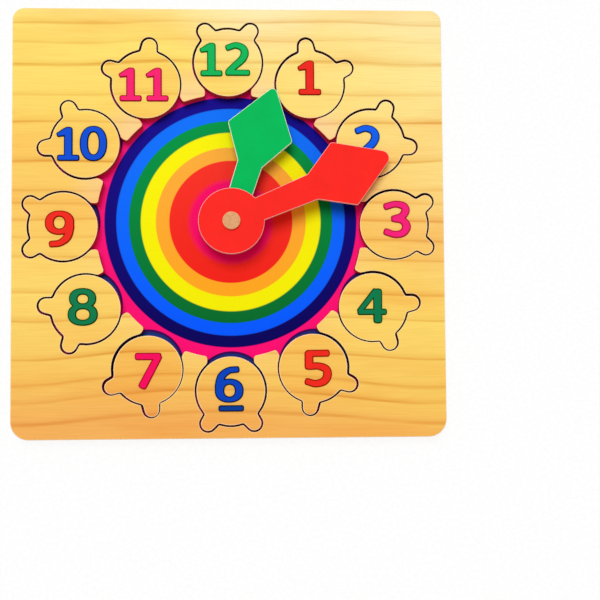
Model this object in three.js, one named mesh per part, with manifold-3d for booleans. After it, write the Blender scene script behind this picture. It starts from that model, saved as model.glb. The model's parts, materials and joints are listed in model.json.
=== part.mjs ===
// A wooden clock puzzle: a square board with twelve lift-out number pieces round a printed dial,
// and two loose hands on a wooden peg. Millimetres; the board lies flat, face up, 12 o'clock towards +Y.
// The origin is the middle of the board's underside.

import * as THREE from 'three';
import { mergeVertices } from 'three/addons/utils/BufferGeometryUtils.js';
import Module from 'manifold-3d';

const wasm = await Module();
wasm.setup();

// Driving dimensions: the board and its layers
const boardSide = 300;
const topCornerRadius = 8.5;
const bottomCornerRadius = 12.5;
const backingThickness = 3;
const sheetThickness = 0.3;
const frameThickness = 9;

// Driving dimensions: the ring of wells and the opening inside it. The margin runs from the wells' rims to
// the edge of the board, the waist is the least wood between two wells, and the step is how much narrower a
// well's mouth is than the well, on each side.
const hours = 12;
const wellMargin = 10.6;
const wellRingDrop = 2.7;
const wellRingTurn = THREE.MathUtils.degToRad(0.3);
const toothWaist = 9.7;
const mouthStep = 8.8;
const mouthLength = 2;
const toothCornerRadius = 2;
const toothShoulderRadius = 3;

// Driving dimensions: one number piece, a round head with two ears on its outward side. The stand-off runs
// from the head's rim to the middle of an ear.
const kerf = 1;
const earRadius = 5.1;
const earStandOff = 3.6;
const earAngle = THREE.MathUtils.degToRad(35.3);
const earInnerLean = THREE.MathUtils.degToRad(45);
const earOuterLean = THREE.MathUtils.degToRad(30);
const neckRadius = 1.8;

// Driving dimensions: the raised numerals. The margin runs from a tall numeral to the head's rim.
const numeralMargin = 11.4;
const numeralThickness = 1;

// Driving dimensions: the peg and the spacer
const pivotX = 1.4;
const pivotY = -0.6;
const shankRadius = 4;
const pegHeadRadius = 6.2;
const pegHeadThickness = 2;
const pegChamfer = 0.5;
const spacerRadius = 14;
const runningGap = 0.3;

// Driving dimensions: the hands
const handThickness = 4;
const handClearance = 1.6;
const hourHand = {
  angle: THREE.MathUtils.degToRad(17.9),
  hubRadius: 20,
  rootHalfWidth: 8.4,
  neckReach: 42.3,
  neckHalfWidth: 8.9,
  shoulderReach: 66,
  shoulderHalfWidth: 23.6,
  tipReach: 100.4,
  neckRadius: 2.5,
  shoulderRadius: 2.5,
  tipRadius: 3.4,
};
const minuteHand = {
  angle: THREE.MathUtils.degToRad(67.3),
  hubRadius: 22.9,
  rootHalfWidth: 8.4,
  neckReach: 61,
  neckHalfWidth: 9.4,
  shoulderReach: 85,
  shoulderHalfWidth: 23.9,
  tipReach: 123.2,
  neckRadius: 5,
  shoulderRadius: 2.5,
  tipRadius: 5.5,
};

// How far a chord may lie inside the round edge that it stands for
const chordSag = 0.1;

// Heights that follow from the layers
const sheetBase = backingThickness;
const frameBase = sheetBase + sheetThickness;
const frameTop = frameBase + frameThickness;
const hourHandBase = frameTop + handClearance;
const minuteHandBase = hourHandBase + handThickness + runningGap;
const pegHeadBase = minuteHandBase + handThickness + runningGap;
const pegTop = pegHeadBase + pegHeadThickness;
const holeRadius = shankRadius + runningGap;

// Sizes that follow from the board's side: the ring is as large as the margin allows with wells that leave
// the waist between them
const halfSpacingShare = Math.sin(Math.PI / hours);
const wellRingRadius = (boardSide / 2 - wellMargin + toothWaist / 2) / (1 + halfSpacingShare);
const wellRadius = wellRingRadius * halfSpacingShare - toothWaist / 2;
const headRadius = wellRadius - kerf;
const earReach = headRadius + earStandOff;
const mouthHalfWidth = wellRadius - mouthStep;
const numeralHeight = 2 * (headRadius - numeralMargin);

// Finishes
function finish(color, roughness) {
  return new THREE.MeshStandardMaterial({ color, roughness, metalness: 0 });
}
const pine = finish(0xf6cf7c, 0.55);
const plywood = finish(0xd9b98a, 0.7);
const print = finish(0xff1478, 0.35);
const beech = finish(0xdca873, 0.55);
const redPaint = finish(0xff302c, 0.35);
const greenPaint = finish(0x0bb35a, 0.35);
const darkGreenPaint = finish(0x0c7a4c, 0.35);
const bluePaint = finish(0x1452d8, 0.35);
const pinkPaint = finish(0xfb1078, 0.35);

// Points along an arc, from one angle to another, as many as the chord sag asks for
function arc(x, y, radius, from, to) {
  const step = 2 * Math.acos(1 - Math.min(chordSag / radius, 0.5));
  const count = Math.max(2, Math.ceil(Math.abs(to - from) / step));
  const points = [];
  for (let i = 0; i <= count; i++) {
    const angle = from + ((to - from) * i) / count;
    points.push(new THREE.Vector2(x + radius * Math.cos(angle), y + radius * Math.sin(angle)));
  }
  return points;
}

// The shorter way round from one angle to another, which keeps an arc from going the long way
function nearest(from, to) {
  return from + Math.atan2(Math.sin(to - from), Math.cos(to - from));
}

// The arc that rounds a corner of a polygon: before, corner and after are its neighbouring points
function roundedCorner(before, corner, after, radius) {
  const back = before.clone().sub(corner).normalize();
  const ahead = after.clone().sub(corner).normalize();
  const half = Math.acos(THREE.MathUtils.clamp(back.dot(ahead), -1, 1)) / 2;
  const inward = back.clone().add(ahead).normalize();
  const centre = corner.clone().addScaledVector(inward, radius / Math.sin(half));
  const start = corner.clone().addScaledVector(back, radius / Math.tan(half)).sub(centre).angle();
  const end = corner.clone().addScaledVector(ahead, radius / Math.tan(half)).sub(centre).angle();
  return arc(centre.x, centre.y, radius, start, nearest(start, end));
}

// The same outline seen in a mirror along the Y axis, in reverse order
function mirrored(points) {
  return points.map((p) => new THREE.Vector2(-p.x, p.y)).reverse();
}

// Points that lie on top of their neighbour are dropped, the last against the first too
function withoutRepeats(points) {
  const least = chordSag / 10;
  return points.filter((p, i) => p.distanceTo(points[(i + points.length - 1) % points.length]) > least);
}

// A flat solid from an outline and any holes in it
function plate(outline, thickness, holes = []) {
  const shape = new THREE.Shape(withoutRepeats(outline));
  shape.holes = holes.map((points) => new THREE.Path(withoutRepeats(points)));
  return new THREE.ExtrudeGeometry(shape, { depth: thickness, bevelEnabled: false });
}

function circle(x, y, radius) {
  return arc(x, y, radius, 0, 2 * Math.PI);
}

// A named sub-part, standing at the height of its base
function part(name, geometry, material, base) {
  const mesh = new THREE.Mesh(geometry, material);
  mesh.name = name;
  mesh.position.z = base;
  return mesh;
}

// The board's outline: a square whose top corners are rounded a little less than its bottom ones
function boardOutline() {
  const half = boardSide / 2;
  const corners = [
    { at: new THREE.Vector2(half, -half), radius: bottomCornerRadius },
    { at: new THREE.Vector2(half, half), radius: topCornerRadius },
    { at: new THREE.Vector2(-half, half), radius: topCornerRadius },
    { at: new THREE.Vector2(-half, -half), radius: bottomCornerRadius },
  ];
  return corners.flatMap(({ at, radius }, i) => {
    const before = corners[(i + corners.length - 1) % corners.length].at;
    const after = corners[(i + 1) % corners.length].at;
    return roundedCorner(before, at, after, radius);
  });
}

// The fillet between the head and one side of an ear, whose straight side faces along the given angle
function neckFillet(sideAngle) {
  const side = new THREE.Vector2(Math.cos(sideAngle), Math.sin(sideAngle));
  const ear = new THREE.Vector2(Math.sin(earAngle), Math.cos(earAngle)).multiplyScalar(earReach);
  const start = ear.clone().addScaledVector(side, earRadius + neckRadius);
  const along = new THREE.Vector2(side.y, -side.x);
  if (along.dot(ear) > 0) along.negate();
  const reach = start.dot(along);
  const gap = (headRadius + neckRadius) ** 2 - start.lengthSq() + reach ** 2;
  const centre = start.addScaledVector(along, -reach - Math.sqrt(gap));
  return { centre, toHead: centre.clone().negate().angle(), toEar: side.clone().negate().angle() };
}

// The right half of the head's outline from an angle on its rim up to the top, about the head's centre,
// with the ear on it. Grown by the kerf, it is the side of the well instead.
function headHalf(fromAngle, grow) {
  const outerSide = -earOuterLean;
  const innerSide = Math.PI - earInnerLean;
  const outer = neckFillet(outerSide);
  const inner = neckFillet(innerSide);
  const radius = headRadius + grow;
  const fillet = neckRadius - grow;
  const outerRim = outer.centre.angle();
  const innerRim = inner.centre.angle();
  const earX = earReach * Math.sin(earAngle);
  const earY = earReach * Math.cos(earAngle);
  return [
    ...arc(0, 0, radius, fromAngle, nearest(fromAngle, outerRim)),
    ...arc(outer.centre.x, outer.centre.y, fillet, outer.toHead, nearest(outer.toHead, outer.toEar)),
    ...arc(earX, earY, earRadius + grow, outerSide, innerSide),
    ...arc(inner.centre.x, inner.centre.y, fillet, inner.toEar, nearest(inner.toEar, inner.toHead)),
    ...arc(0, 0, radius, innerRim, Math.PI / 2),
  ];
}

function pieceOutline() {
  const right = headHalf(-Math.PI / 2, 0);
  return [...right, ...mirrored(right)];
}

// The right half of one hour's share of the opening, about the middle of the ring of wells: the tooth's
// inner edge, its rounded corner, the mouth's straight side, the tooth's shoulder and the well
function openingHalf() {
  const shoulderX = mouthHalfWidth + toothShoulderRadius;
  const shoulderDrop = Math.sqrt((wellRadius + toothShoulderRadius) ** 2 - shoulderX ** 2);
  const shoulderY = wellRingRadius - shoulderDrop;
  const cornerX = mouthHalfWidth + toothCornerRadius;
  const cornerY = shoulderY - mouthLength;
  const openingRadius = Math.hypot(cornerX, cornerY) - toothCornerRadius;
  const cornerAngle = Math.atan2(cornerY, cornerX);
  const rimAngle = Math.atan2(-shoulderDrop, shoulderX);
  const toothMiddle = Math.PI / 2 - Math.PI / hours;
  const well = headHalf(rimAngle, kerf).map((p) => new THREE.Vector2(p.x, p.y + wellRingRadius));
  return [
    ...arc(0, 0, openingRadius, toothMiddle, cornerAngle),
    ...arc(cornerX, cornerY, toothCornerRadius, cornerAngle - Math.PI, -Math.PI),
    ...arc(shoulderX, shoulderY, toothShoulderRadius, Math.PI, Math.PI + rimAngle),
    ...well,
  ];
}

function openingOutline() {
  const right = openingHalf();
  const share = [...right, ...mirrored(right)];
  const points = [];
  for (let hour = 0; hour < hours; hour++) {
    const turn = wellRingTurn + (2 * Math.PI * hour) / hours;
    points.push(...share.map((p) => p.clone().rotateAround(new THREE.Vector2(), turn)));
  }
  return points.map((p) => p.sub(new THREE.Vector2(0, wellRingDrop)));
}

// A hand's outline about its pivot, pointing along +Y: a round hub, a shaft and a four-sided head
function handOutline(hand) {
  const rootReach = Math.sqrt(hand.hubRadius ** 2 - hand.rootHalfWidth ** 2);
  const rootAngle = Math.atan2(rootReach, hand.rootHalfWidth);
  const root = new THREE.Vector2(hand.rootHalfWidth, rootReach);
  const neck = new THREE.Vector2(hand.neckHalfWidth, hand.neckReach);
  const shoulder = new THREE.Vector2(hand.shoulderHalfWidth, hand.shoulderReach);
  const tip = new THREE.Vector2(0, hand.tipReach);
  const farShoulder = new THREE.Vector2(-hand.shoulderHalfWidth, hand.shoulderReach);
  const right = [
    ...arc(0, 0, hand.hubRadius, -Math.PI / 2, rootAngle),
    ...roundedCorner(root, neck, shoulder, hand.neckRadius),
    ...roundedCorner(neck, shoulder, tip, hand.shoulderRadius),
  ];
  return [...right, ...roundedCorner(shoulder, tip, farShoulder, hand.tipRadius), ...mirrored(right)];
}

function handPart(name, hand, material, base) {
  const geometry = plate(handOutline(hand), handThickness, [circle(0, 0, holeRadius)]);
  const mesh = part(name, geometry, material, base);
  mesh.rotation.z = -hand.angle;
  return mesh;
}

// A round part on the pivot, turned from a profile of radius and height
function turned(name, profile, material) {
  const points = profile.map(([radius, height]) => new THREE.Vector2(radius, height));
  const turns = Math.ceil(Math.PI / Math.acos(1 - chordSag / Math.max(...points.map((p) => p.x))));
  const geometry = new THREE.LatheGeometry(points, 2 * turns);
  geometry.rotateX(Math.PI / 2);
  return part(name, geometry, material, 0);
}

function ringProfile(inside, outside, base, top) {
  return [[inside, base], [outside, base], [outside, top], [inside, top], [inside, base]];
}

// Numerals. Each is drawn as strokes about its own middle, in shares of the numeral's height. A stroke is
// a line of [x, y, width] points, smooth between them, or a ring between an outer and an inner oval, each
// given as [x, y, half width, half height].
const oneShares = [
  { line: [[0, 0.4, 0.254], [0, -0.38, 0.254]] },
  { line: [[-0.278, 0.274, 0.15], [-0.09, 0.345, 0.25]] },
  { line: [[-0.25, -0.405, 0.186], [0.25, -0.405, 0.186]] },
];
const twoShares = [
  {
    line: [
      [-0.275, 0.335, 0.19], [-0.06, 0.402, 0.2], [0.14, 0.34, 0.22], [0.214, 0.185, 0.242],
      [0.144, 0, 0.236], [-0.073, -0.204, 0.22], [-0.25, -0.36, 0.19],
    ],
  },
  { line: [[-0.285, -0.408, 0.184], [0.3, -0.408, 0.184]] },
];
const threeShares = [
  {
    line: [
      [-0.28, 0.345, 0.19], [-0.04, 0.408, 0.187], [0.18, 0.36, 0.215], [0.237, 0.233, 0.235],
      [0.135, 0.08, 0.21], [-0.075, 0.017, 0.185],
    ],
  },
  {
    line: [
      [-0.075, 0.017, 0.185], [0.15, -0.025, 0.21], [0.26, -0.185, 0.242], [0.165, -0.36, 0.215],
      [-0.055, -0.403, 0.194], [-0.285, -0.335, 0.19],
    ],
  },
];
const fourShares = [
  { line: [[0.16, 0.385, 0.256], [0.16, -0.395, 0.256]] },
  { line: [[0.09, 0.405, 0.185], [-0.34, -0.135, 0.17]] },
  { line: [[-0.345, -0.17, 0.18], [0.35, -0.17, 0.18]] },
];
const fiveShares = [
  { line: [[-0.25, 0.4, 0.19], [0.245, 0.405, 0.19]] },
  { line: [[-0.235, 0.385, 0.24], [-0.235, 0.06, 0.24]] },
  {
    line: [
      [-0.215, 0.06, 0.2], [0.01, 0.065, 0.2], [0.207, -0.01, 0.223], [0.254, -0.162, 0.24],
      [0.17, -0.33, 0.223], [-0.055, -0.4, 0.204], [-0.28, -0.346, 0.19],
    ],
  },
];
const sixShares = [
  {
    line: [
      [0.204, 0.394, 0.18], [-0.02, 0.363, 0.192], [-0.208, 0.21, 0.228], [-0.274, -0.045, 0.245],
      [-0.262, -0.16, 0.235],
    ],
  },
  { outer: [-0.006, -0.174, 0.39, 0.326], inner: [0.002, -0.176, 0.139, 0.155] },
];
const sevenShares = [
  { line: [[-0.295, 0.395, 0.206], [0.27, 0.395, 0.206]] },
  { line: [[0.255, 0.37, 0.225], [-0.153, -0.397, 0.242]] },
];
const eightShares = [
  { outer: [-0.004, 0.222, 0.36, 0.278], inner: [0, 0.21, 0.134, 0.113] },
  { outer: [0, -0.201, 0.398, 0.299], inner: [0, -0.201, 0.172, 0.138] },
];
const zeroShares = [{ outer: [0, 0, 0.384, 0.5], inner: [0, 0.004, 0.145, 0.309] }];
const underlineShares = [{ line: [[-0.285, 0, 0.178], [0.285, 0, 0.178]] }];

// Turned by half a turn, a six is a nine
function halfTurned(strokes) {
  return strokes.map(({ line, outer, inner }) => {
    const turn = ([x, y, ...sizes]) => [-x, -y, ...sizes];
    return line ? { line: line.map(turn) } : { outer: turn(outer), inner: turn(inner) };
  });
}

// How square the strokes' ends and the ovals are, two being round, and how far an end reaches as a share
// of the stroke's half width
const endSquareness = 2.7;
const ovalSquareness = 2.25;
const endReachShare = 0.8;
const endSteps = 8;
const ovalSteps = 28;
const stepsPerSpan = 4;

// A point on the rim of a unit shape between a circle and a square
function rimPoint(angle, squareness) {
  const x = Math.cos(angle);
  const y = Math.sin(angle);
  return new THREE.Vector2(
    Math.sign(x) * Math.abs(x) ** (2 / squareness),
    Math.sign(y) * Math.abs(y) ** (2 / squareness),
  );
}

function oval([x, y, halfWidth, halfHeight], height) {
  const points = [];
  for (let i = 0; i < ovalSteps; i++) {
    const rim = rimPoint((2 * Math.PI * i) / ovalSteps, ovalSquareness);
    points.push(new THREE.Vector2(x + halfWidth * rim.x, y + halfHeight * rim.y).multiplyScalar(height));
  }
  return points;
}

// The points round a stroke's end, turning from its left side to its right side
function strokeEnd(at, ahead, halfWidth) {
  const left = new THREE.Vector2(-ahead.y, ahead.x);
  const points = [];
  for (let i = 1; i < endSteps; i++) {
    const rim = rimPoint(Math.PI / 2 - (Math.PI * i) / endSteps, endSquareness);
    const point = at.clone().addScaledVector(ahead, halfWidth * endReachShare * rim.x);
    points.push(point.addScaledVector(left, halfWidth * rim.y));
  }
  return points;
}

// A stroke's middle line, its direction and its half width at every step
function strokeStations(line, height) {
  const knots = line.map(([x, y, width]) => new THREE.Vector3(x, y, width).multiplyScalar(height));
  const curve = new THREE.CatmullRomCurve3(knots, false, 'catmullrom', 0.5);
  const steps = knots.length > 2 ? (knots.length - 1) * stepsPerSpan : 1;
  const stations = [];
  for (let i = 0; i <= steps; i++) {
    const knot = curve.getPoint(i / steps);
    const slope = curve.getTangent(i / steps);
    const ahead = new THREE.Vector2(slope.x, slope.y).normalize();
    stations.push({ at: new THREE.Vector2(knot.x, knot.y), ahead, halfWidth: knot.z / 2 });
  }
  return stations;
}

// The outline of a stroke: up its left side, round its end, back down its right side and round its start
function strokeOutline(line, height) {
  const stations = strokeStations(line, height);
  const side = ({ at, ahead, halfWidth }, sign) =>
    at.clone().addScaledVector(new THREE.Vector2(-ahead.y, ahead.x), sign * halfWidth);
  const first = stations[0];
  const last = stations[stations.length - 1];
  return [
    ...stations.map((station) => side(station, 1)),
    ...strokeEnd(last.at, last.ahead, last.halfWidth),
    ...stations.map((station) => side(station, -1)).reverse(),
    ...strokeEnd(first.at, first.ahead.clone().negate(), first.halfWidth),
  ];
}

function strokeSolid({ line, outer, inner }, height) {
  if (line) return solidOf(plate(strokeOutline(line, height), numeralThickness));
  return solidOf(plate(oval(outer, height), numeralThickness, [oval(inner, height)]));
}

// A closed geometry as a solid that can be joined to others
function solidOf(geometry) {
  const bare = geometry.clone();
  bare.deleteAttribute('normal');
  bare.deleteAttribute('uv');
  const welded = mergeVertices(bare);
  const vertProperties = new Float32Array(welded.attributes.position.array);
  const triVerts = new Uint32Array(welded.index.array);
  return new wasm.Manifold(new wasm.Mesh({ numProp: 3, vertProperties, triVerts }));
}

function geometryOf(solid) {
  const mesh = solid.getMesh();
  const geometry = new THREE.BufferGeometry();
  geometry.setAttribute('position', new THREE.BufferAttribute(new Float32Array(mesh.vertProperties), 3));
  geometry.setIndex(new THREE.BufferAttribute(new Uint32Array(mesh.triVerts), 1));
  geometry.computeVertexNormals();
  return geometry;
}

function numeralGeometry(strokes, sizeShare) {
  const height = numeralHeight * sizeShare;
  const solids = strokes.map((stroke) => strokeSolid(stroke, height));
  return geometryOf(solids.reduce((joined, solid) => joined.add(solid)));
}

// One numeral on a piece: its name, its strokes, and its place and size as shares of the numeral height
function numeral(name, strokes, placeShare, sizeShare) {
  return { name, strokes, placeShare, sizeShare };
}

// The twelve pieces and what stands on each. They were painted by hand, so the numerals' places differ a
// little, and numerals that stand in pairs are smaller. Each piece has settled a little off the middle of
// its well, by shares of the kerf.
const pairedShare = 0.965;
const numbers = [
  {
    hour: 12,
    paint: greenPaint,
    settledShare: [0.14, -0.08],
    numerals: [
      numeral('numeral_12_one', oneShares, [-0.466, 0.088], pairedShare),
      numeral('numeral_12_two', twoShares, [0.266, 0.108], pairedShare),
    ],
  },
  {
    hour: 1,
    paint: redPaint,
    settledShare: [0.09, -0.34],
    numerals: [numeral('numeral_1', oneShares, [-0.004, 0.195], 1)],
  },
  {
    hour: 2,
    paint: bluePaint,
    settledShare: [-0.07, -0.24],
    numerals: [numeral('numeral_2', twoShares, [-0.074, 0.018], 1.03)],
  },
  {
    hour: 3,
    paint: pinkPaint,
    settledShare: [0.17, -0.31],
    numerals: [numeral('numeral_3', threeShares, [0.084, 0.153], 1.055)],
  },
  {
    hour: 4,
    paint: darkGreenPaint,
    settledShare: [-0.04, -0.45],
    numerals: [numeral('numeral_4', fourShares, [-0.028, 0.036], 1)],
  },
  {
    hour: 5,
    paint: redPaint,
    settledShare: [-0.27, -0.32],
    numerals: [numeral('numeral_5', fiveShares, [0.128, -0.015], 1.05)],
  },
  {
    hour: 6,
    paint: bluePaint,
    settledShare: [-0.03, -0.05],
    numerals: [
      numeral('numeral_6', sixShares, [-0.04, 0.188], 1.03),
      numeral('underline_6', underlineShares, [0.006, -0.484], 1),
    ],
  },
  {
    hour: 7,
    paint: pinkPaint,
    settledShare: [0.46, -0.42],
    numerals: [numeral('numeral_7', sevenShares, [0.018, -0.022], 1.015)],
  },
  {
    hour: 8,
    paint: darkGreenPaint,
    settledShare: [0.21, 0.15],
    numerals: [numeral('numeral_8', eightShares, [-0.087, 0.057], 1.05)],
  },
  {
    hour: 9,
    paint: redPaint,
    settledShare: [0.08, 0.04],
    numerals: [numeral('numeral_9', halfTurned(sixShares), [-0.103, -0.079], 1.05)],
  },
  {
    hour: 10,
    paint: bluePaint,
    settledShare: [0, 0.24],
    numerals: [
      numeral('numeral_10_one', oneShares, [-0.468, -0.004], pairedShare),
      numeral('numeral_10_zero', zeroShares, [0.23, 0.01], 1),
    ],
  },
  {
    hour: 11,
    paint: pinkPaint,
    settledShare: [0.21, -0.1],
    numerals: [
      numeral('numeral_11_left', oneShares, [-0.429, -0.002], pairedShare),
      numeral('numeral_11_right', oneShares, [0.323, -0.002], pairedShare),
    ],
  },
];

// One number piece in its well with its numerals, which stand upright whichever way the piece points
function numberPiece({ hour, paint, settledShare, numerals }) {
  const group = new THREE.Group();
  const turn = (2 * Math.PI * hour) / hours - wellRingTurn;
  group.position.x = wellRingRadius * Math.sin(turn) + settledShare[0] * kerf;
  group.position.y = wellRingRadius * Math.cos(turn) - wellRingDrop + settledShare[1] * kerf;
  const wood = part(`number_piece_${hour}`, plate(pieceOutline(), frameThickness), pine, frameBase);
  wood.rotation.z = -turn;
  group.add(wood);
  for (const { name, strokes, placeShare, sizeShare } of numerals) {
    const raised = part(name, numeralGeometry(strokes, sizeShare), paint, frameTop);
    raised.position.x = placeShare[0] * numeralHeight;
    raised.position.y = placeShare[1] * numeralHeight;
    group.add(raised);
  }
  return group;
}

// The peg: a shank through everything on the pivot, and a low turned head that keeps the hands on
function peg() {
  const chamferBase = pegTop - pegChamfer;
  const profile = [
    [0, 0], [shankRadius, 0], [shankRadius, pegHeadBase], [pegHeadRadius, pegHeadBase],
    [pegHeadRadius, chamferBase], [pegHeadRadius - pegChamfer, pegTop], [0, pegTop],
  ];
  return turned('peg', profile, beech);
}

// Everything on the pivot
function dialGroup() {
  const group = new THREE.Group();
  group.position.set(pivotX, pivotY, 0);
  const spacerTop = hourHandBase - runningGap;
  group.add(turned('spacer', ringProfile(holeRadius, spacerRadius, frameBase, spacerTop), beech));
  group.add(handPart('hour_hand', hourHand, greenPaint, hourHandBase));
  group.add(handPart('minute_hand', minuteHand, redPaint, minuteHandBase));
  group.add(peg());
  return group;
}

const puzzle = new THREE.Group();
const pegHole = circle(pivotX, pivotY, holeRadius);
puzzle.add(part('backing_board', plate(boardOutline(), backingThickness, [pegHole]), plywood, 0));
puzzle.add(part('printed_sheet', plate(boardOutline(), sheetThickness, [pegHole]), print, sheetBase));
puzzle.add(part('frame_board', plate(boardOutline(), frameThickness, [openingOutline()]), pine, frameBase));
for (const number of numbers) puzzle.add(numberPiece(number));
puzzle.add(dialGroup());

export default puzzle;
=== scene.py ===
"""Wooden clock puzzle: the visible pieces and their finishes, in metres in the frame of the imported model."""

import json
import logging
import math
from collections.abc import Sequence
from dataclasses import dataclass
from enum import Enum
from functools import cached_property

import bmesh
import bpy
from bpy.types import Material, Node, NodeSocket, Object, World
from mathutils import Matrix, Vector

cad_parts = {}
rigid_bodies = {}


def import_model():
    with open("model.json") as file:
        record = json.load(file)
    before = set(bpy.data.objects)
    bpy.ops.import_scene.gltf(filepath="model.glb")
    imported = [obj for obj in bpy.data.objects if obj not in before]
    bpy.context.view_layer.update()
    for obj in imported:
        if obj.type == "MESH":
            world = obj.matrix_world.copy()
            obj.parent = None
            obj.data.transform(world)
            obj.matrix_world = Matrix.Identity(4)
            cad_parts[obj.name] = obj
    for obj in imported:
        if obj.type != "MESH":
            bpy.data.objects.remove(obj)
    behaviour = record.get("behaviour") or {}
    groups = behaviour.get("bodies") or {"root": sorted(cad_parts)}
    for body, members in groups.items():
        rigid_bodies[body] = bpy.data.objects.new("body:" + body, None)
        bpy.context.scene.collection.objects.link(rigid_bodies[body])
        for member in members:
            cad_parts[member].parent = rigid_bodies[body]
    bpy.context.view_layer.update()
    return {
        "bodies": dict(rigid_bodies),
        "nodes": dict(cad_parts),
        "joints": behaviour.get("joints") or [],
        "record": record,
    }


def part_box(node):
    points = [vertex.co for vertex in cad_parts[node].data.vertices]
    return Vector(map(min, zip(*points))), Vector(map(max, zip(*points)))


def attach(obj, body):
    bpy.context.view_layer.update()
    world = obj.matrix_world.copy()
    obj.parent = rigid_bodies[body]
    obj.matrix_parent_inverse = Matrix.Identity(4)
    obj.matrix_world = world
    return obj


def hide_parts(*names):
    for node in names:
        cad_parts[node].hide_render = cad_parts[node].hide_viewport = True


LOG = logging.getLogger("clock_puzzle")
HOURS = 12
FULL_TURN = 2 * math.pi

MM = 0.001
BOARD_SIDE = 300 * MM
FACE_HEIGHT = 12.3 * MM
OPENING_RADIUS = 96.5 * MM

# Sockets of a colour Mix node, which Blender knows by number
MIX_A = 6
MIX_B = 7

# Linear red, green, blue and alpha, each from 0 to 1
Colour = tuple[float, float, float, float]

# What can feed a socket: an output, or a node that stands for its first output in use
Source = Node | NodeSocket


def linear(colour: str) -> Colour:
    """Turn an sRGB hex colour into a linear one.

    Args:
        colour: The colour as "#RRGGBB".

    Returns:
        The linear colour.
    """
    channels = [int(colour[start : start + 2], 16) / 255 for start in (1, 3, 5)]
    lit = [c / 12.92 if c <= 0.04045 else ((c + 0.055) / 1.055) ** 2.4 for c in channels]
    return (lit[0], lit[1], lit[2], 1.0)


def grey(level: float) -> Colour:
    """Give a grey of that level."""
    return (level, level, level, 1.0)


class Blend(Enum):
    """How a layer of colour meets what lies under it."""

    COVER = "MIX"
    TINT = "MULTIPLY"


class ShaderTree:
    """The nodes of a material, or of the world, while they are being wired.

    A MapRange node gets its value, the two ends of the range that this comes from, and those of the
    range that it goes to, which are 0 and 1 where they aren't given.
    """

    def __init__(self, owner: Material | World) -> None:
        """Start with no nodes.

        Args:
            owner: What the nodes are for.
        """
        owner.use_nodes = True
        self.nodes = owner.node_tree.nodes
        self.links = owner.node_tree.links
        self.nodes.clear()

    def add(
        self,
        kind: str,
        inputs: dict[str | int, object] | Sequence[object] = (),
        stops: Sequence[tuple[float, Colour | str]] = (),
        **settings: object,
    ) -> Node:
        """Add a node with its settings and links.

        Args:
            kind: Blender's name for the kind of node, without the "ShaderNode" before it.
            inputs: What its sockets get, in their order, or by name or number. It is a value, a hex
                colour, or a source that feeds the socket.
            stops: Places and colours of a colour ramp, in rising order.
            settings: Attributes of the node and their values.

        Returns:
            The new node.
        """
        node = self.nodes.new("ShaderNode" + kind)
        for name, value in settings.items():
            setattr(node, name, value)
        fed = inputs if isinstance(inputs, dict) else dict(enumerate(inputs))
        for socket, value in fed.items():
            if isinstance(value, Node):
                value = next(output for output in value.outputs if output.enabled)
            if isinstance(value, NodeSocket):
                self.links.new(value, node.inputs[socket])
            else:
                node.inputs[socket].default_value = linear(value) if isinstance(value, str) else value
        if stops:
            elements = node.color_ramp.elements
            elements.remove(elements[-1])
            elements[0].position = stops[0][0]
            for place, _ in stops[1:]:
                elements.new(place)
            for element, (_, colour) in zip(elements, stops):
                element.color = linear(colour) if isinstance(colour, str) else colour
        return node

    @cached_property
    def place(self) -> NodeSocket:
        """Where on the object the surface is."""
        return self.add("TexCoord").outputs["Object"]

    @cached_property
    def reach(self) -> Node:
        """How far from the dial's axis the surface is."""
        flat = self.add("VectorMath", [self.place, (1, 1, 0)], operation="MULTIPLY")
        return self.add("VectorMath", [flat], operation="LENGTH")

    def axis(self, name: str) -> NodeSocket:
        """Tell how far along the axis of that name the surface is."""
        return self.add("SeparateXYZ", [self.place]).outputs[name]

    def mottling(
        self,
        size: tuple[float, float, float] | float,
        detail: float,
        roughness: float = 0.5,
        distortion: float = 0.0,
        place: Source | None = None,
    ) -> Node:
        """Give uneven light and dark, drawn out along the axes where they differ.

        Args:
            size: Width of its patches in mm, along each axis or the same along all.
            detail: How many times finer patches are laid over them.
            roughness: How strong the finer ones are.
            distortion: How far the patches swirl.
            place: The place that it is drawn from, where that isn't the object's own.

        Returns:
            The level, mostly from 0.3 to 0.7.
        """
        sides = size if isinstance(size, tuple) else (size, size, size)
        start = self.place if place is None else place
        shrunk = self.add("VectorMath", [start, [side * MM for side in sides]], operation="DIVIDE")
        finer = {"Detail": detail, "Roughness": roughness, "Distortion": distortion}
        return self.add("TexNoise", {"Vector": shrunk, "Scale": 1.0, **finer})

    def overlaid(self, colour: Source | str, *layers: tuple[Source | float, Source | str, Blend]) -> Source:
        """Lay colours over each other.

        Args:
            colour: The lowest colour.
            layers: The layers over it, each with its share, its colour and how it blends.

        Returns:
            The colour that shows.
        """
        for share, layer, blend in layers:
            sockets = {"Factor": share, MIX_A: colour, MIX_B: layer}
            colour = self.add("Mix", sockets, data_type="RGBA", blend_type=blend.value)
        return colour

    def surface(
        self,
        colour: Source,
        roughness: Source | float,
        specular: float,
        relief: Source,
        strength: float,
        depth: float,
    ) -> Node:
        """Give the shader of an opaque surface.

        Args:
            colour: Its colour.
            roughness: Its roughness.
            specular: Its specular level.
            relief: The pattern of its fine relief.
            strength: How strongly the relief shows.
            depth: Depth of the relief in mm.

        Returns:
            The shader.
        """
        bump = self.add("Bump", {"Strength": strength, "Distance": depth * MM, "Height": relief})
        gloss = {"Roughness": roughness, "Specular IOR Level": specular}
        return self.add("BsdfPrincipled", {"Base Color": colour, "Normal": bump, **gloss})


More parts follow.
